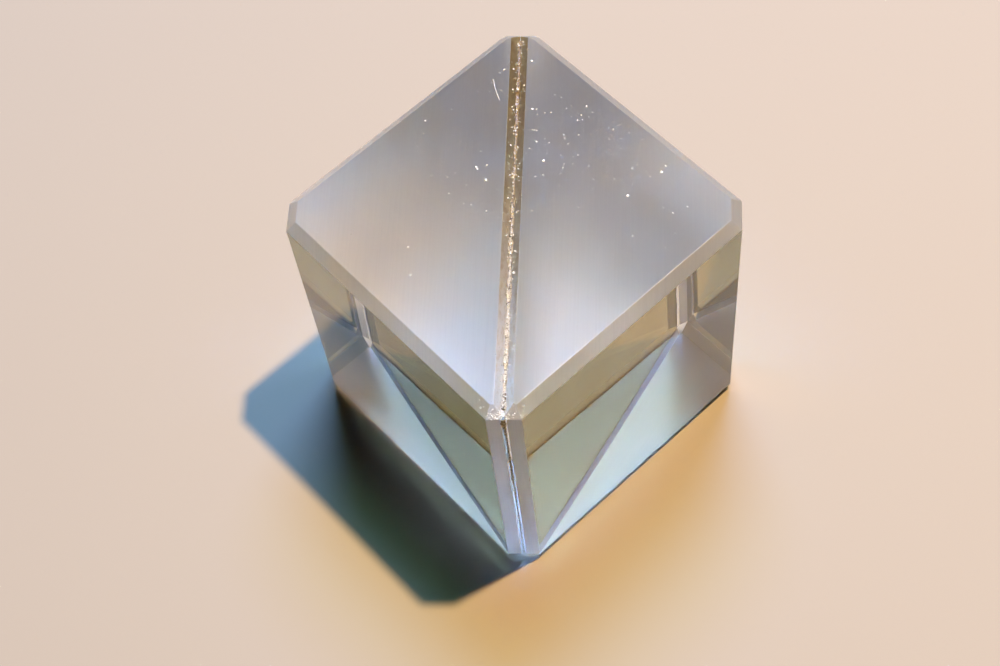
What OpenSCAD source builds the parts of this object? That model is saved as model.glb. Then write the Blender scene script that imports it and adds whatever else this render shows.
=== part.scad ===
// Cemented beamsplitter cube: two right-angle glass prisms joined on their long faces.
//
// The cube's four polished faces are square to X and Y. The joint stands upright on the
// diagonal from the front left corner to the rear right one. The base is at z = 0, and the
// origin is the middle of the base.
//
// Each module draws in the joint's own frame, X along the joint and Y across it, with
// the plain prism on the +Y side. in_cube() turns that frame into place.

/* [Cube] */
// Length of each side of the cube
cube_side = 25.4; // [12:0.1:51]

/* [Ground edges] */
// Leg of the 45 degree bevel round the top and bottom faces
rim_bevel = 0.8; // [0.2:0.05:1.5]
// Leg of the bevel on each prism's long edges; two side by side make a V groove
groove_bevel = 0.65; // [0.2:0.05:1.2]
// Width of the flat ground on each upright corner of the cube
corner_flat = 2.5; // [1:0.1:4]
// Leg of the small bevel where the joint comes out at a corner flat
seam_bevel = 0.2; // [0.05:0.05:0.3]

/* [Joint] */
// Thickness of the beam-splitting coating
coating_thickness = 0.01; // [0.005:0.005:0.05]
// Thickness of the cement between the coating and the plain prism
cement_thickness = 0.03; // [0.01:0.01:0.1]
// How far each cement bead fills its groove, as a share of the groove's depth
bead_fill = 0.4; // [0.2:0.05:0.8]
// How far a bead's hollow surface dips, as a share of its height
bead_dip = 0.3; // [0.1:0.05:0.5]

/* [Hidden] */
$fn = 64;

joint_thickness = coating_thickness + cement_thickness;
half_joint = joint_thickness / 2;
// Depth to which each upright corner is ground away
corner_cut = corner_flat / 2;
// Distance from the cube's middle to a corner flat
flat_reach = cube_side / sqrt(2) - corner_cut;
// Half the length of the joint between its seam bevels
joint_reach = flat_reach - seam_bevel;
// Height of the joint between its two V grooves
joint_height = cube_side - 2 * groove_bevel;
// Longer than any edge, so a bevel cutter runs past both ends
cutter_length = 2 * cube_side;

// Outline of one prism seen from above, in the joint's frame
prism_outline = [
    [-joint_reach, half_joint],
    [-flat_reach, half_joint + seam_bevel],
    [-flat_reach, corner_cut],
    [-corner_cut, flat_reach],
    [corner_cut, flat_reach],
    [flat_reach, corner_cut],
    [flat_reach, half_joint + seam_bevel],
    [joint_reach, half_joint]
];

// Turns the joint's frame onto the cube's diagonal
module in_cube() {
    rotate(45) children();
}

// Square bar along X whose corner-to-corner section cuts a 45 degree bevel on an edge
module bevel_cutter(leg) {
    rotate([45, 0, 0]) cube([cutter_length, leg * sqrt(2), leg * sqrt(2)], center = true);
}

// Cutters round the rim of the top and bottom faces: odd ones are on the polished faces,
// even ones on the corner flats
module rim_cutters() {
    for (level = [0, cube_side], side = [0 : 7])
        rotate(45 * side)
            translate([0, side % 2 == 0 ? flat_reach : cube_side / 2, level])
                bevel_cutter(rim_bevel);
}

// Cutters on the top and bottom long edges of the prism on the +Y side
module groove_cutters() {
    for (level = [0, cube_side])
        translate([0, half_joint, level]) bevel_cutter(groove_bevel);
}

module right_angle_prism() {
    difference() {
        linear_extrude(cube_side) polygon(prism_outline);
        rim_cutters();
        groove_cutters();
    }
}

// One layer of the joint, from one distance across it to another
module joint_layer(from_y, to_y) {
    difference() {
        translate([-joint_reach, from_y, groove_bevel])
            cube([2 * joint_reach, to_y - from_y, joint_height]);
        rim_cutters();
    }
}

// Bead of cement along Z in a 90 degree groove that opens towards +Y, its floor at Y = 0
module groove_bead(groove_depth, bead_length) {
    bead_height = bead_fill * groove_depth;
    half_width = half_joint + bead_height;
    dip = bead_dip * bead_height;
    hollow_radius = (pow(half_width, 2) + pow(dip, 2)) / (2 * dip);
    difference() {
        linear_extrude(bead_length, center = true)
            polygon([
                [-half_joint, 0],
                [half_joint, 0],
                [half_width, bead_height],
                [-half_width, bead_height]
            ]);
        translate([0, bead_height - dip + hollow_radius, 0])
            cylinder(r = hollow_radius, h = cutter_length, center = true);
    }
}

// Bead in the V groove of the top face, and of the bottom face once turned over
module face_bead() {
    difference() {
        translate([0, 0, cube_side - groove_bevel])
            rotate([90, 0, 90])
                groove_bead(groove_bevel, 2 * flat_reach);
        rim_cutters();
    }
}

// Bead in the narrow groove down a corner flat, on the +X side
module corner_bead() {
    difference() {
        translate([joint_reach, 0, cube_side / 2])
            rotate([0, 0, -90])
                groove_bead(seam_bevel, joint_height);
        rim_cutters();
    }
}

module plain_prism() {
    color("lightcyan") in_cube() right_angle_prism();
}

module coated_prism() {
    color("azure") in_cube() rotate(180) right_angle_prism();
}

module splitter_coating() {
    color("orange") in_cube() joint_layer(-half_joint, coating_thickness - half_joint);
}

module cement_film() {
    color("wheat") in_cube() joint_layer(coating_thickness - half_joint, half_joint);
}

module top_cement_bead() {
    color("peru") in_cube() face_bead();
}

module bottom_cement_bead() {
    color("peru") in_cube()
        translate([0, 0, cube_side]) rotate([180, 0, 0]) face_bead();
}

module front_cement_bead() {
    color("sienna") in_cube() rotate(180) corner_bead();
}

module rear_cement_bead() {
    color("sienna") in_cube() corner_bead();
}

plain_prism();
coated_prism();
splitter_coating();
cement_film();
top_cement_bead();
bottom_cement_bead();
front_cement_bead();
rear_cement_bead();
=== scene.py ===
"""Looks of the cemented beamsplitter cube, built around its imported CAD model.

The cube stands on its ground base, its polished faces square to X and Y. The joint between
its two prisms is upright, on the diagonal from the -X-Y corner to the +X+Y corner.
"""

import math
import random

import bmesh
import bpy
from mathutils import Matrix, Vector, noise
from mathutils.bvhtree import BVHTree


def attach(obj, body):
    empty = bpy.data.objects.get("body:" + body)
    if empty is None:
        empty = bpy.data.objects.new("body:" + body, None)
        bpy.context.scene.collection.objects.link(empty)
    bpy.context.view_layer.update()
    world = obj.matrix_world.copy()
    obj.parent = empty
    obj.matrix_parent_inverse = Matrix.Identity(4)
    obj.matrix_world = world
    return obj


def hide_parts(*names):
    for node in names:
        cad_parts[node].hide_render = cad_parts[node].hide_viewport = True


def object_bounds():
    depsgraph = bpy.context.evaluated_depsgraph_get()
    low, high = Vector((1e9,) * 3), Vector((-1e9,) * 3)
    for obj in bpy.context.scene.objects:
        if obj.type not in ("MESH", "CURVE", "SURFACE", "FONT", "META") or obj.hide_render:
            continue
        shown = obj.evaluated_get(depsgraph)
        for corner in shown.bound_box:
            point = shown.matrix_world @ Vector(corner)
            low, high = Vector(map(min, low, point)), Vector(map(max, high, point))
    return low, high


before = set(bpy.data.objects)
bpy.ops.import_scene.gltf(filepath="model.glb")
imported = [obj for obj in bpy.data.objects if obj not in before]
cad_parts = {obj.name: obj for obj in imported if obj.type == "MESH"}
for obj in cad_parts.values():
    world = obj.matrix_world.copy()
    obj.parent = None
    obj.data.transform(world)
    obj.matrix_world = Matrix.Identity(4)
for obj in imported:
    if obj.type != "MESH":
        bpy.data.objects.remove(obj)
cad_low, cad_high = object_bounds()

MM = 0.001
SIDE = cad_high.z - cad_low.z
CENTRE = (cad_low + cad_high) / 2
ALONG = Vector((1, 1, 0)).normalized()  # along the joint, from the front corner to the rear
ACROSS = Vector((-1, 1, 0)).normalized()  # across the joint, towards the plain prism
UP = Vector((0, 0, 1))

# Refractive indices of crown glass, of a surface that light goes straight through, and of
# cured cement
GLASS_IOR = 1.517
MATCHED_IOR = 1.0
CEMENT_IOR = 1.5

WELD = 0.001 * MM  # points of a CAD mesh nearer than this are one point
GROOVE_DEPTH = 0.65  # millimetres, from the top or base to the floor of its V groove

# Finishes of a prism's faces, in the order of its material slots
POLISHED, GROUND_TOP, GROUND_EDGE, CEMENTED, GROUND_BASE, GROOVE_WALL = range(6)


# ---------------------------------------------------------------- material helpers

def new_material(name):
    """A material with its node tree and its Principled node."""
    material = bpy.data.materials.new(name)
    material.use_nodes = True
    tree = material.node_tree
    shader = next(n for n in tree.nodes if n.type == "BSDF_PRINCIPLED")
    return material, tree, shader


def set_inputs(shader, **values):
    """Sets sockets by name, with an underscore for each space."""
    for name, value in values.items():
        shader.inputs[name.replace("_", " ")].default_value = value


def coordinates(tree, along, across, up):
    """Object coordinates turned to the joint and scaled: features per millimetre each way."""
    place = tree.nodes.new("ShaderNodeTexCoord")
    turn = tree.nodes.new("ShaderNodeMapping")
    turn.vector_type = "POINT"
    turn.inputs["Rotation"].default_value = (0, 0, math.radians(-45))
    scale = tree.nodes.new("ShaderNodeVectorMath")
    scale.operation = "MULTIPLY"
    scale.inputs[1].default_value = (along / MM, across / MM, up / MM)
    tree.links.new(place.outputs["Object"], turn.inputs["Vector"])
    tree.links.new(turn.outputs["Vector"], scale.inputs[0])
    return scale.outputs["Vector"]


def noise_value(tree, vector, detail=3.0, roughness=0.55):
    """Noise from 0 to 1, one feature for each unit of the vector."""
    node = tree.nodes.new("ShaderNodeTexNoise")
    node.inputs["Scale"].default_value = 1.0
    node.inputs["Detail"].default_value = detail
    node.inputs["Roughness"].default_value = roughness
    tree.links.new(vector, node.inputs["Vector"])
    return node.outputs["Fac"]


def remap(tree, value, low, high, to_low, to_high):
    """Stretches low..high to to_low..to_high, and stops at both ends."""
    node = tree.nodes.new("ShaderNodeMapRange")
    for name, number in (("From Min", low), ("From Max", high),
                         ("To Min", to_low), ("To Max", to_high)):
        node.inputs[name].default_value = number
    tree.links.new(value, node.inputs["Value"])
    return node.outputs["Result"]


def ramp(tree, value, stops):
    """Colours at places from 0 to 1."""
    node = tree.nodes.new("ShaderNodeValToRGB")
    points = node.color_ramp.elements
    while len(points) < len(stops):
        points.new(0.5)
    for point, (place, colour) in zip(points, stops):
        point.position = place
        point.color = (*colour, 1)
    tree.links.new(value, node.inputs["Fac"])
    return node.outputs["Color"]


def along_ramp(tree, stops):
    """Colours from the front corner of the joint, at 0, to its rear corner, at 1."""
    position = tree.nodes.new("ShaderNodeSeparateXYZ")
    tree.links.new(coordinates(tree, 1, 1, 1), position.inputs["Vector"])
    half = SIDE / math.sqrt(2) / MM
    return ramp(tree, remap(tree, position.outputs["X"], -half, half, 0.0, 1.0), stops)


def blend_colours(tree, kind, factor, first, second):
    """Two colours mixed by a fixed or a varying factor."""
    node = tree.nodes.new("ShaderNodeMix")
    node.data_type = "RGBA"
    node.blend_type = kind
    sockets = [s for s in node.inputs if s.type == "RGBA"]
    if isinstance(factor, float):
        node.inputs["Factor"].default_value = factor
    else:
        tree.links.new(factor, node.inputs["Factor"])
    for socket, colour in zip(sockets, (first, second)):
        tree.links.new(colour, socket)
    return next(s for s in node.outputs if s.type == "RGBA")


def bump(tree, shader, height, strength, depth):
    node = tree.nodes.new("ShaderNodeBump")
    node.inputs["Strength"].default_value = strength
    node.inputs["Distance"].default_value = depth
    tree.links.new(height, node.inputs["Height"])
    tree.links.new(node.outputs["Normal"], shader.inputs["Normal"])


# ---------------------------------------------------------------- materials

def polished_glass():
    """Polished crown glass with faint smears that only roughen it a little."""
    material, tree, shader = new_material("polished_glass")
    set_inputs(shader, Base_Color=(0.985, 0.992, 0.988, 1), IOR=GLASS_IOR,
               Transmission_Weight=1.0)
    smears = noise_value(tree, coordinates(tree, 0.25, 0.25, 0.12), 5.0, 0.6)
    tree.links.new(remap(tree, smears, 0.58, 0.75, 0.0, 0.045), shader.inputs["Roughness"])
    return material


def ground_glass(name, roughness, tint, clearness, painted_sheen_tint=(1.0, 1.0, 1.0)):
    """Fine-ground glass: a matt grain with streaks left along the joint by the lapping."""
    material, tree, shader = new_material(name)
    # A sheen colour other than white is a painted tint on the face's reflections, not a colour
    # of the glass.
    set_inputs(shader, IOR=GLASS_IOR, Transmission_Weight=clearness, Specular_Tint=(*painted_sheen_tint, 1))
    streaks = noise_value(tree, coordinates(tree, 0.12, 7.0, 0.3), 4.0)
    clouds = noise_value(tree, coordinates(tree, 0.35, 0.35, 0.35), 4.0)
    grain = noise_value(tree, coordinates(tree, 14.0, 14.0, 14.0), 2.0)
    # On the base the tint is painted cool light, and the streaks carry it too.
    worn = tuple(c * 0.93 for c in tint)
    streak_colour = ramp(tree, streaks, [(0.3, worn), (0.62, tint)])
    cloud_colour = ramp(tree, clouds, [(0.3, (0.965, 0.965, 0.96)), (0.6, (1, 1, 1))])
    colour = blend_colours(tree, "MULTIPLY", 1.0, streak_colour, cloud_colour)
    tree.links.new(colour, shader.inputs["Base Color"])
    tree.links.new(remap(tree, clouds, 0.3, 0.7, roughness - 0.04, roughness + 0.04),
                   shader.inputs["Roughness"])
    height = tree.nodes.new("ShaderNodeMath")
    height.operation = "ADD"
    tree.links.new(streaks, height.inputs[0])
    tree.links.new(grain, height.inputs[1])
    bump(tree, shader, height.outputs["Value"], 0.35, 0.004 * MM)
    return material


def groove_glass():
    """Ground walls of the V grooves, stained by cement: brown at the rear, chalky in front."""
    material, tree, shader = new_material("groove_wall")
    set_inputs(shader, IOR=GLASS_IOR, Transmission_Weight=0.94)
    stain = along_ramp(tree, [(0.10, (0.98, 0.96, 0.90)), (0.30, (0.95, 0.90, 0.78)),
                              (0.55, (0.82, 0.70, 0.42)), (0.85, (0.74, 0.58, 0.26))])
    blots = noise_value(tree, coordinates(tree, 1.3, 2.5, 2.5), 4.0, 0.65)
    shade = ramp(tree, blots, [(0.35, (0.72, 0.62, 0.45)), (0.55, (1.0, 1.0, 1.0))])
    tree.links.new(blend_colours(tree, "MULTIPLY", 0.8, stain, shade),
                   shader.inputs["Base Color"])
    tree.links.new(remap(tree, blots, 0.3, 0.7, 0.34, 0.48), shader.inputs["Roughness"])
    bump(tree, shader, blots, 0.4, 0.01 * MM)
    return material


def cemented_face():
    """The prism's cemented face: the cement matches the glass, so light goes straight on."""
    material, tree, shader = new_material("cemented_face")
    set_inputs(shader, Base_Color=(1, 1, 1, 1), Roughness=0.0, IOR=MATCHED_IOR,
               Transmission_Weight=1.0)
    return material


def splitter_film():
    """Half-reflecting golden film: it mirrors on the side that light reaches first."""
    material, tree, shader = new_material("splitter_film")
    set_inputs(shader, Roughness=0.0, IOR=MATCHED_IOR, Transmission_Weight=1.0)
    mottle = noise_value(tree, coordinates(tree, 0.12, 0.12, 0.12), 3.0)
    through = ramp(tree, mottle, [(0.3, (0.50, 0.43, 0.23)), (0.7, (0.55, 0.48, 0.28))])
    mirrored = ramp(tree, mottle, [(0.3, (0.52, 0.43, 0.22)), (0.7, (0.57, 0.48, 0.27))])
    tree.links.new(through, shader.inputs["Base Color"])
    mirror = tree.nodes.new("ShaderNodeBsdfGlossy")
    mirror.inputs["Roughness"].default_value = 0.0
    tree.links.new(mirrored, mirror.inputs["Color"])
    geometry = tree.nodes.new("ShaderNodeNewGeometry")
    share = remap(tree, geometry.outputs["Backfacing"], 0.0, 1.0, 0.5, 0.0)
    mix = tree.nodes.new("ShaderNodeMixShader")
    out = next(n for n in tree.nodes if n.type == "OUTPUT_MATERIAL")
    tree.links.new(share, mix.inputs["Fac"])
    tree.links.new(shader.outputs[0], mix.inputs[1])
    tree.links.new(mirror.outputs[0], mix.inputs[2])
    tree.links.new(mix.outputs[0], out.inputs["Surface"])
    return material


def clear_cement():
    """Clear cured cement between the prisms, faintly yellow in patches."""
    material, tree, shader = new_material("clear_cement")
    set_inputs(shader, Roughness=0.0, IOR=MATCHED_IOR, Transmission_Weight=1.0)
    patches = noise_value(tree, coordinates(tree, 0.2, 0.2, 0.2), 4.0)
    colour = ramp(tree, patches, [(0.35, (1.0, 0.985, 0.93)), (0.65, (1, 1, 0.985))])
    tree.links.new(colour, shader.inputs["Base Color"])
    return material


def aged_cement():
    """Cured cement with grinding dust in it: honey-brown at the rear, chalky at the front, with
    painted shade in its pits.
    """
    material, tree, shader = new_material("aged_cement")
    set_inputs(shader, IOR=CEMENT_IOR, Transmission_Weight=0.4)
    age = along_ramp(tree, [(0.12, (0.80, 0.77, 0.68)), (0.34, (0.66, 0.58, 0.42)),
                            (0.55, (0.48, 0.36, 0.15)), (0.85, (0.38, 0.25, 0.07))])
    lumps = noise_value(tree, coordinates(tree, 5.0, 5.0, 5.0), 4.0, 0.7)
    # Near black where the bump sinks into pits: painted shade in the pits.
    painted_pit_shade = ramp(tree, lumps, [(0.42, (0.07, 0.05, 0.02)), (0.50, (0.8, 0.76, 0.66)),
                              (0.62, (1.0, 1.0, 1.0))])
    tree.links.new(blend_colours(tree, "MULTIPLY", 1.0, age, painted_pit_shade), shader.inputs["Base Color"])
    tree.links.new(remap(tree, lumps, 0.35, 0.65, 0.65, 0.18), shader.inputs["Roughness"])
    bump(tree, shader, lumps, 0.6, 0.02 * MM)
    return material


def amber_cement():
    """Thin amber cement run out over the glass."""
    material, tree, shader = new_material("amber_cement")
    set_inputs(shader, IOR=CEMENT_IOR, Transmission_Weight=0.45)
    patches = noise_value(tree, coordinates(tree, 2.5, 2.5, 2.5), 4.0)
    colour = ramp(tree, patches, [(0.35, (0.20, 0.13, 0.03)), (0.65, (0.50, 0.39, 0.16))])
    tree.links.new(colour, shader.inputs["Base Color"])
    tree.links.new(remap(tree, patches, 0.3, 0.7, 0.15, 0.4), shader.inputs["Roughness"])
    return material


def grit_material():
    """Glass grit and dust, from clear-white to grey."""
    material, tree, shader = new_material("glass_grit")
    set_inputs(shader, Roughness=0.5, IOR=GLASS_IOR)
    shades = noise_value(tree, coordinates(tree, 1.5, 1.5, 1.5), 2.0)
    colour = ramp(tree, shades, [(0.3, (0.72, 0.72, 0.68)), (0.5, (0.97, 0.97, 0.95))])
    tree.links.new(colour, shader.inputs["Base Color"])
    return material


def floor_material():
    """A plain pale matt floor."""
    material, tree, shader = new_material("pale_floor")
    set_inputs(shader, Base_Color=(0.38, 0.338, 0.283, 1), Roughness=0.9)
    return material


# ---------------------------------------------------------------- mesh helpers

def new_object(name, mesh, materials):
    for material in materials:
        mesh.materials.append(material)
    made = bpy.data.objects.new(name, mesh)
    bpy.context.scene.collection.objects.link(made)
    return made


def mesh_from(bm, name):
    mesh = bpy.data.meshes.new(name)
    bm.to_mesh(mesh)
    bm.free()
    return mesh


def piece(name, mesh, materials, replaced=None):
    """A finished piece: rides on the one body, takes a slot, and may stand for a CAD node."""
    made = new_object(name, mesh, materials)
    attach(made, "root")
    if replaced:
        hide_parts(replaced)
    return made


def joint_point(along, across, up):
    """A place given in millimetres along the joint, across it and above the base."""
    return (ALONG * along + ACROSS * across + UP * up) * MM + UP * cad_low.z


def add_pebble(bm, centre, radius, rng, squash=1.0):
    """A small irregular faceted lump, squashed along Z."""
    made = bmesh.ops.create_icosphere(bm, subdivisions=1, radius=1.0)
    turn = Matrix.Rotation(rng.uniform(0, math.tau), 3, "Z")
    turn @= Matrix.Rotation(rng.uniform(0, math.tau), 3, "X")
    stretch = Vector([rng.uniform(0.6, 1.3) for _ in range(3)])
    for vertex in made["verts"]:
        point = Vector([c * s for c, s in zip(vertex.co, stretch)])
        point = turn @ (point * rng.uniform(0.75, 1.1)) * radius
        point.z *= squash
        vertex.co = centre + point


# ---------------------------------------------------------------- prisms

JOINT_GAP = 0.003 * MM  # keeps a prism's cemented face just clear of the film on it
WORN_EDGE = 0.05 * MM
SLIVER = 0.0008 * MM  # edges shorter than this are left over from the cuts
SQUARE_ON = 0.9999  # how squarely a face looks along an axis to count as square to it
HALF_TOP = SIDE / 2 / MM  # half a side, in millimetres, for placing chips
CORNER_CUT = 1.25  # millimetres, from where the sides would meet back to the corner flat
CORNER_REACH = SIDE / math.sqrt(2) / MM - CORNER_CUT  # from the middle to a corner flat


def finish_of(face):
    """Which finish a prism's face has, from the way it looks; its worn edges are ground."""
    normal = face.normal
    if normal.z > SQUARE_ON:
        return GROUND_TOP
    if normal.z < -SQUARE_ON:
        return GROUND_BASE
    if max(abs(normal.x), abs(normal.y)) > SQUARE_ON:
        return POLISHED
    at_joint = abs(face.calc_center_median().dot(ACROSS)) < 0.1 * MM
    if at_joint and abs(normal.dot(ACROSS)) > 0.999:
        return CEMENTED
    beside_joint = abs(face.calc_center_median().dot(ACROSS)) < 0.6 * MM
    if beside_joint and abs(normal.dot(ACROSS)) > 0.3:
        return GROOVE_WALL
    return GROUND_EDGE


def chip_places(side):
    """Middles and radii of the nicks on one prism's edges, in the joint's millimetres."""
    rng = random.Random(31 + side)
    top = SIDE / MM
    groove = 0.67
    places = []
    for _ in range(9):  # along the outer edge of the V groove
        places.append((rng.uniform(-15, 15), side * groove, top, rng.uniform(0.05, 0.12)))
    for _ in range(5):  # round the front top corner
        places.append((-CORNER_REACH + rng.uniform(0.1, 0.9), side * rng.uniform(0.3, 1.9),
                       top - rng.uniform(0.0, 0.5), rng.uniform(0.12, 0.26)))
    places.append((CORNER_REACH - 0.15, side * 1.3, top - 0.75, 0.42))
    return places


def chip_cutter(side):
    """The lumps that are cut out of one prism, as one object."""
    rng = random.Random(47 + side)
    bm = bmesh.new()
    for along, across, up, radius in chip_places(side):
        add_pebble(bm, joint_point(along, across, up), radius * MM, rng)
    if side > 0:  # the chipped corner of the top face at the left
        add_pebble(bm, Vector((-HALF_TOP + 0.85, HALF_TOP - 3.6, SIDE / MM)) * MM, 0.3 * MM, rng)
    for face in bm.faces:
        face.material_index = GROUND_EDGE
    bmesh.ops.recalc_face_normals(bm, faces=bm.faces)
    cutter = bpy.data.objects.new("chips", mesh_from(bm, "chips"))
    bpy.context.scene.collection.objects.link(cutter)
    return cutter


def weld_slivers(mesh):
    """Merges the edges and faces that a cut leaves too small to be real."""
    bm = bmesh.new()
    bm.from_mesh(mesh)
    bmesh.ops.remove_doubles(bm, verts=bm.verts, dist=SLIVER)
    bmesh.ops.dissolve_degenerate(bm, edges=bm.edges, dist=SLIVER)
    bm.to_mesh(mesh)
    bm.free()
    mesh.validate()


def chipped(made, side):
    """Cuts the chips into a prism and leaves it a plain mesh."""
    cutter = chip_cutter(side)
    modifier = made.modifiers.new("chips", "BOOLEAN")
    modifier.operation = "DIFFERENCE"
    modifier.solver = "EXACT"
    modifier.object = cutter
    bpy.context.view_layer.update()
    depsgraph = bpy.context.evaluated_depsgraph_get()
    result = bpy.data.meshes.new_from_object(made.evaluated_get(depsgraph))
    made.modifiers.clear()
    weld_slivers(result)
    made.data = result
    bpy.data.objects.remove(cutter)


def wear_rear_corner(bm):
    """Rounds the top of the rear corner flat, where the prism's corner is worn."""
    def at_rear(edge):
        middle = (edge.verts[0].co + edge.verts[1].co) / 2
        beyond = middle.dot(ALONG) > (CORNER_REACH - 0.9) * MM
        return beyond and middle.z > cad_high.z - 0.9 * MM and abs(middle.dot(ACROSS)) > 0.9 * MM
    worn = [e for e in bm.edges if at_rear(e) and e.calc_length() < 2 * MM]
    bmesh.ops.bevel(bm, geom=worn, offset=0.3 * MM, segments=4, profile=0.5,
                    affect="EDGES", clamp_overlap=True)


def prism(name, node, side, materials):
    """A prism on its CAD node's faces, with worn edges, chips and a finish on each face."""
    bm = bmesh.new()
    bm.from_mesh(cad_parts[node].data)
    bmesh.ops.remove_doubles(bm, verts=bm.verts, dist=WELD)
    bmesh.ops.dissolve_limit(bm, angle_limit=math.radians(1), verts=bm.verts, edges=bm.edges)
    wear_rear_corner(bm)
    joint = [f for f in bm.faces if finish_of(f) == CEMENTED]
    joint_edges = {e for f in joint for e in f.edges}
    free = [e for e in bm.edges if e not in joint_edges]
    bmesh.ops.bevel(bm, geom=free, offset=WORN_EDGE, segments=2, profile=0.5,
                    affect="EDGES", clamp_overlap=True)
    for face in bm.faces:
        face.smooth = False
        face.material_index = finish_of(face)
    for vertex in {v for f in bm.faces if f.material_index == CEMENTED for v in f.verts}:
        vertex.co += ACROSS * side * JOINT_GAP
    made = piece(name, mesh_from(bm, name), materials, node)
    chipped(made, side)
    return made


# ---------------------------------------------------------------- cement

FILM_GAP = 0.002 * MM  # keeps the cement clear of the coating it covers
WALL_GAP = 0.004 * MM  # keeps a bead clear of its groove's walls
BEAD_FOOT = 0.016 * MM  # half the width of a bead's foot
BEAD_STEP = 0.1 * MM
SEAM_TOP = 24.3  # millimetres above the base
SEAM_FOOT = 1.1
SMEAR_STEP = 0.06  # millimetres


def cement_layer(material):
    """The cement film, just clear of the coating on its one side."""
    bm = bmesh.new()
    bm.from_mesh(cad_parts["cement_film"].data)
    bmesh.ops.remove_doubles(bm, verts=bm.verts, dist=WELD)
    inner = min(v.co.dot(ACROSS) for v in bm.verts)
    for vertex in bm.verts:
        if vertex.co.dot(ACROSS) < inner + FILM_GAP:
            vertex.co += ACROSS * FILM_GAP
    return piece("cement_layer", mesh_from(bm, "cement_layer"), [material],
                 "cement_film")


def bead_ring(middle, height, outward, sideways, seed):
    """A bead's outline at one place: its foot, its two upper edges and its rough top."""
    wide = BEAD_FOOT + height - WALL_GAP
    ring = [middle - sideways * BEAD_FOOT + outward * WALL_GAP,
            middle + sideways * BEAD_FOOT + outward * WALL_GAP,
            middle + sideways * wide + outward * height]
    for across in (0.5, 0.0, -0.5):
        spot = middle + sideways * wide * across
        rough = noise.noise(spot / MM * 6 + Vector((seed, 0, 0)))
        dip = (1 - across * across) * 0.25 + 0.35 * rough
        ring.append(spot + outward * height * (1 - dip))
    ring.append(middle - sideways * wide + outward * height)
    return ring


def bead(name, node, start, end, outward, sideways, fill, material, seed):
    """Uneven cement in a 90 degree groove. start and end are on the groove's floor; fill
    gives the bead's height, in millimetres, at a share of the way."""
    run = end - start
    count = int(run.length / BEAD_STEP)
    bm = bmesh.new()
    rings = []
    for index in range(count + 1):
        share = index / count
        middle = start + run * share
        height = fill(share, middle / MM) * MM
        ring = bead_ring(middle, height, outward, sideways, seed)
        rings.append([bm.verts.new(p) for p in ring])
    for near, far in zip(rings, rings[1:]):
        for i in range(len(near)):
            j = (i + 1) % len(near)
            bm.faces.new((near[i], near[j], far[j], far[i]))
    bm.faces.new(rings[0])
    bm.faces.new(rings[-1])
    bmesh.ops.recalc_face_normals(bm, faces=bm.faces)
    for face in bm.faces:
        face.smooth = len(face.verts) == 4
    return piece(name, mesh_from(bm, name), [material], node)


def wavering(low, high, pace, seed):
    """A bead height that wanders between low and high."""
    def height(share, place):
        slow = noise.noise(place * pace + Vector((0, seed, 0)))
        quick = noise.noise(place * pace * 4 + Vector((seed, 0, 0)))
        level = min(max(0.5 + 0.9 * slow + 0.45 * quick, 0), 1)
        return low + (high - low) * level
    return height


def run_out(low, high, pace, seed, until):
    """As wavering, but only a trace is left beyond a share of the way."""
    uneven = wavering(low, high, pace, seed)

    def height(share, place):
        return low if share > until else uneven(share, place)
    return height


def beads(material):
    """Cement in the top and base grooves, and down the seams of the two corner flats."""
    reach = CORNER_REACH - GROOVE_DEPTH
    top = SIDE / MM - GROOVE_DEPTH
    bead("top_bead", "top_cement_bead", joint_point(-reach, 0, top), joint_point(reach, 0, top),
         UP, ACROSS, wavering(0.05, 0.21, 0.8, 3), material, 1.5)
    bead("base_bead", "bottom_cement_bead", joint_point(-reach, 0, GROOVE_DEPTH),
         joint_point(reach, 0, GROOVE_DEPTH), -UP, ACROSS,
         wavering(0.10, 0.25, 0.5, 8), material, 4.5)
    seam = CORNER_REACH - 0.2
    for name, node, sign, until in (("front_bead", "front_cement_bead", -1, 0.45),
                                    ("rear_bead", "rear_cement_bead", 1, 0.9)):
        upper = joint_point(sign * seam, 0, SEAM_TOP)
        lower = joint_point(sign * seam, 0, SEAM_FOOT)
        bead(name, node, upper, lower, ALONG * sign, ACROSS,
             run_out(0.03, 0.085, 0.9, 5 + sign, until), material, 7.5 + sign)


def close_rim(bm, tops, feet):
    """Joins a patch's top to its underside all round its edge."""
    for edge in [e for e in bm.edges if e.is_boundary]:
        keys = [k for k in tops if tops[k] in edge.verts]
        if len(keys) == 2:
            a, b = keys
            bm.faces.new((tops[a], tops[b], feet[b], feet[a]))


def smear(name, centre, sideways, down, outward, size, field, material):
    """A thin run of cement on a face: a patch as thick as field says, gone where it is 0."""
    wide, tall = size
    columns = int(wide / SMEAR_STEP)
    rows = int(tall / SMEAR_STEP)
    bm = bmesh.new()
    tops, feet = {}, {}
    for i in range(columns + 1):
        for j in range(rows + 1):
            u, v = i / columns * 2 - 1, j / rows
            spot = centre + (sideways * (u * wide / 2) + down * (v * tall)) * MM
            thick = field(u, v, spot / MM)
            if thick > 0:
                tops[i, j] = bm.verts.new(spot + outward * (thick + 0.004) * MM)
                feet[i, j] = bm.verts.new(spot + outward * 0.003 * MM)
    for i in range(columns):
        for j in range(rows):
            loop = [(i, j), (i + 1, j), (i + 1, j + 1), (i, j + 1)]
            if all(k in tops for k in loop):
                bm.faces.new([tops[k] for k in loop])
                bm.faces.new([feet[k] for k in reversed(loop)])
    close_rim(bm, tops, feet)
    bmesh.ops.delete(bm, geom=[v for v in bm.verts if not v.link_faces], context="VERTS")
    bmesh.ops.recalc_face_normals(bm, faces=bm.faces)
    for face in bm.faces:
        face.smooth = True
    return piece(name, mesh_from(bm, name), [material])


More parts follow.
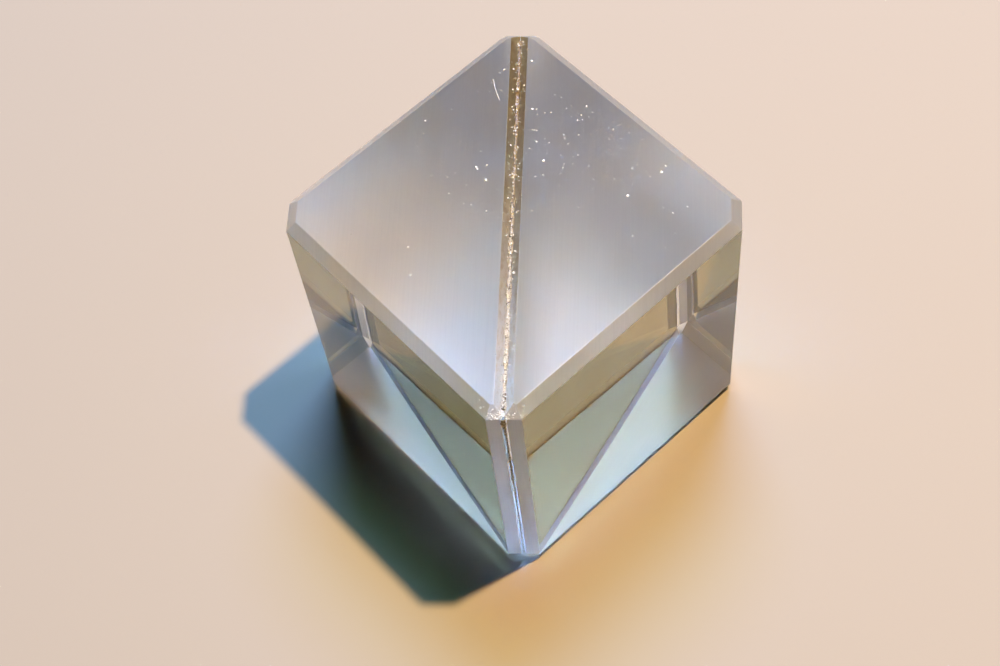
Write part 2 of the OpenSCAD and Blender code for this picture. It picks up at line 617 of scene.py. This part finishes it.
def corner_smear_field(u, v, place):
    """A ragged patch over the seam's top, then a broken line down the seam."""
    ragged = noise.noise(place * 1.7) * 0.35 + noise.noise(place * 5.0) * 0.35
    patch = 0.75 - 1.2 * abs(u) - 1.5 * v
    line = 0.45 - 3.2 * abs(u - 0.1) - 0.4 * v
    return 0.05 * (max(patch, line) + ragged)


def smears(material):
    """The run of cement at the top of the front corner's seam."""
    at_flat = joint_point(-CORNER_REACH, 0.06, SIDE / MM - 0.82)
    smear("front_corner_smear", at_flat, ACROSS, -UP, -ALONG, (0.8, 6.0),
          corner_smear_field, material)


# ---------------------------------------------------------------- dust and grit

def cement_grit(material):
    """Bright grains of ground glass caught in the top bead."""
    rng = random.Random(12)
    bm = bmesh.new()
    groove_floor = SIDE / MM - GROOVE_DEPTH
    grains = 430
    for _ in range(grains):
        along = rng.uniform(-15.8, 15.8)
        across = max(-0.56, min(rng.gauss(0.0, 0.25), 0.56))
        size = rng.uniform(0.022, 0.045) if rng.random() < 0.8 else rng.uniform(0.05, 0.075)
        lift = max(abs(across), 0.16) + size * 0.9
        add_pebble(bm, joint_point(along, across, groove_floor + lift), size * MM, rng)
    add_pebble(bm, joint_point(11.2, 0.0, groove_floor + 0.34), 0.14 * MM, rng)
    bmesh.ops.recalc_face_normals(bm, faces=bm.faces)
    return piece("cement_grit", mesh_from(bm, "cement_grit"), [material])


def corner_grit(material, bodies):
    """Chipped glass left round the groove's front end, dropped onto whatever is below it."""
    rng = random.Random(21)
    bpy.context.view_layer.update()
    trees = [BVHTree.FromObject(b, bpy.context.evaluated_depsgraph_get()) for b in bodies]
    bm = bmesh.new()
    grains = 170
    for _ in range(grains):
        along = -CORNER_REACH + abs(rng.gauss(0.0, 0.42))
        across = rng.gauss(0.35, 0.55)
        above = joint_point(along, across, SIDE / MM + 1)
        hits = [tree.ray_cast(above, -UP)[0] for tree in trees]
        hits = [hit for hit in hits if hit is not None and hit.z > cad_high.z - 1.2 * MM]
        if hits:
            size = rng.uniform(0.02, 0.065)
            place = max(hits, key=lambda hit: hit.z) + UP * size * 0.3 * MM
            add_pebble(bm, place, size * MM, rng, 0.8)
    bmesh.ops.recalc_face_normals(bm, faces=bm.faces)
    return piece("corner_grit", mesh_from(bm, "corner_grit"), [material])


def dust(material):
    """Specks on the top face, most of them towards the rear of the coated prism."""
    rng = random.Random(5)
    bm = bmesh.new()
    top = SIDE / MM
    specks = 135
    placed = 0
    while placed < specks:
        along, across = rng.uniform(-15, 15.5), rng.uniform(-15, 15)
        thinning = math.exp(-((along - 7) ** 2 + (across + 4) ** 2) / 60)
        inside = abs(along) + abs(across) < 16.2 and abs(across) > 0.8
        if inside and rng.random() < 0.05 + thinning:
            size = rng.uniform(0.035, 0.06) if rng.random() < 0.85 else rng.uniform(0.08, 0.12)
            add_pebble(bm, joint_point(along, across, top + size * 0.3), size * MM, rng, 0.5)
            placed += 1
    bmesh.ops.recalc_face_normals(bm, faces=bm.faces)
    return piece("dust_specks", mesh_from(bm, "dust_specks"), [material])


def lint(material):
    """One short fibre lying on the plain prism's top, near the rear corner."""
    rng = random.Random(9)
    curve = bpy.data.curves.new("lint_hair", "CURVE")
    curve.dimensions = "3D"
    curve.bevel_depth = 0.022 * MM
    curve.bevel_resolution = 1
    spline = curve.splines.new("POLY")
    count = 14
    spline.points.add(count - 1)
    start, end = (11.9, 1.85), (9.95, 1.30)
    for index, point in enumerate(spline.points):
        share = index / (count - 1)
        along = start[0] + (end[0] - start[0]) * share + 0.03 * math.sin(math.pi * share)
        across = start[1] + (end[1] - start[1]) * share + 0.08 * math.sin(math.pi * share)
        lift = 0.02 + 0.05 * rng.random() * math.sin(math.pi * share)
        point.co = (*joint_point(along, across, SIDE / MM + lift), 1)
    made = bpy.data.objects.new("lint_curve", curve)
    bpy.context.scene.collection.objects.link(made)
    bpy.context.view_layer.update()
    depsgraph = bpy.context.evaluated_depsgraph_get()
    mesh = bpy.data.meshes.new_from_object(made.evaluated_get(depsgraph))
    bpy.data.objects.remove(made)
    return piece("lint_hair", mesh, [material])


# ---------------------------------------------------------------- the object

finishes = [
    polished_glass(),
    # The top's warm sheen colour is a painted tint on its reflections of the cool lamps.
    ground_glass("ground_top", 0.46, (1.0, 0.985, 0.95), 0.965, (0.82, 0.68, 0.52)),
    ground_glass("ground_edge", 0.42, (0.97, 0.97, 0.95), 0.82),
    cemented_face(),
    # The base's pale blue tint is painted cool light, not a colour of the glass.
    ground_glass("ground_base", 0.37, (0.84, 0.86, 1.0), 0.76),
    groove_glass(),
]
prisms = [prism("plain_prism_body", "plain_prism", 1, finishes),
          prism("coated_prism_body", "coated_prism", -1, finishes)]
film = splitter_film()
for material_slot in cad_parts["splitter_coating"].material_slots:
    material_slot.material = film
cement_layer(clear_cement())
beads(aged_cement())
smears(amber_cement())
grit = grit_material()
cement_grit(grit)
corner_grit(grit, prisms)
dust(grit)
lint(grit)


# ---------------------------------------------------------------- stage, lights, camera

def floor():
    """A plain floor that sweeps up into a wall all round."""
    flat, curl, tall = 1.6, 0.4, 0.6
    profile = [(0, 0), (flat, 0)]
    profile += [(flat + curl * math.sin(a), curl * (1 - math.cos(a)))
                for a in (math.radians(15 * i) for i in range(1, 7))]
    profile.append((flat + curl, tall))
    around = 72
    bm = bmesh.new()
    middle = bm.verts.new((0, 0, 0))
    rings = []
    for radius, height in profile[1:]:
        angles = (math.tau * i / around for i in range(around))
        rings.append([bm.verts.new((radius * math.cos(a), radius * math.sin(a), height))
                      for a in angles])
    for i in range(around):
        j = (i + 1) % around
        bm.faces.new((middle, rings[0][i], rings[0][j]))
        for inner, outer in zip(rings, rings[1:]):
            bm.faces.new((inner[i], outer[i], outer[j], inner[j]))
    for face in bm.faces:
        face.smooth = True
    made = new_object("floor", mesh_from(bm, "floor"), [floor_material()])
    made.location.z = cad_low.z - 0.02 * MM


def joint_direction(x, y, z):
    """A direction given as (away from the plain prism, towards the rear corner, up)."""
    return -ACROSS * x + ALONG * y + UP * z


def lamp(name, direction, size, colour, strength):
    """A round soft lamp, strength being what it gives a surface square to it at the cube."""
    distance = 0.45
    data = bpy.data.lights.new(name, "AREA")
    data.shape = "DISK"
    data.size = size
    data.color = colour
    data.energy = strength * math.pi * math.pi * distance ** 2
    made = bpy.data.objects.new(name, data)
    bpy.context.scene.collection.objects.link(made)
    way = direction.normalized()
    made.location = CENTRE + way * distance
    made.rotation_euler = way.to_track_quat("Z", "Y").to_euler()


def lights():
    """One small warm lamp and two broad cool ones, in an almost dark room."""
    lamp("warm_key", joint_direction(0.27, 0.125, 1), 0.018, (1.0, 0.66, 0.32), 1.76)
    lamp("cool_sky", joint_direction(0.03, 0.34, 1), 0.17, (0.42, 0.95, 0.72), 0.45)
    lamp("cool_window", joint_direction(0.05, 0.57, 1), 0.20, (0.24, 0.38, 1.0), 1.28)
    world = bpy.data.worlds.new("room")
    world.use_nodes = True
    backdrop = next(n for n in world.node_tree.nodes if n.type == "BACKGROUND")
    backdrop.inputs["Color"].default_value = (0.75, 0.85, 1.0, 1)
    backdrop.inputs["Strength"].default_value = 0.002
    bpy.context.scene.world = world


CAMERA_ANGLES = (-35.49, 60.24, -8.25)  # azimuth, elevation and roll, in degrees
CAMERA_LENS = 66.51
CAMERA_DISTANCE = 5.744  # sides of the cube, from the aim
CAMERA_AIM = (-0.1168, -0.0186, 0.4526)  # sides of the cube, from the middle of its base


def camera():
    """The camera, close above the cube's front corner."""
    azimuth, elevation, roll = (math.radians(a) for a in CAMERA_ANGLES)
    back = Vector((math.sin(azimuth) * math.cos(elevation),
                   -math.cos(azimuth) * math.cos(elevation), math.sin(elevation)))
    right = UP.cross(back).normalized()
    above = back.cross(right)
    turned_right = right * math.cos(roll) + above * math.sin(roll)
    turned_above = above * math.cos(roll) - right * math.sin(roll)
    data = bpy.data.cameras.new("camera")
    data.lens = CAMERA_LENS
    data.clip_start = 0.005
    made = bpy.data.objects.new("camera", data)
    bpy.context.scene.collection.objects.link(made)
    aim = Vector(CAMERA_AIM) * SIDE
    place = Matrix((turned_right, turned_above, back)).transposed().to_4x4()
    place.translation = aim + back * CAMERA_DISTANCE * SIDE
    made.matrix_world = place
    bpy.context.scene.camera = made


floor()
lights()
camera()

# Light through this glass crosses many faces, and its paths are kept sharp
scene = bpy.context.scene
scene.view_settings.view_transform = "Standard"
scene.cycles.max_bounces = 40
scene.cycles.transmission_bounces = 40
scene.cycles.glossy_bounces = 16
scene.cycles.diffuse_bounces = 4
scene.cycles.transparent_max_bounces = 32
scene.cycles.blur_glossy = 0.0
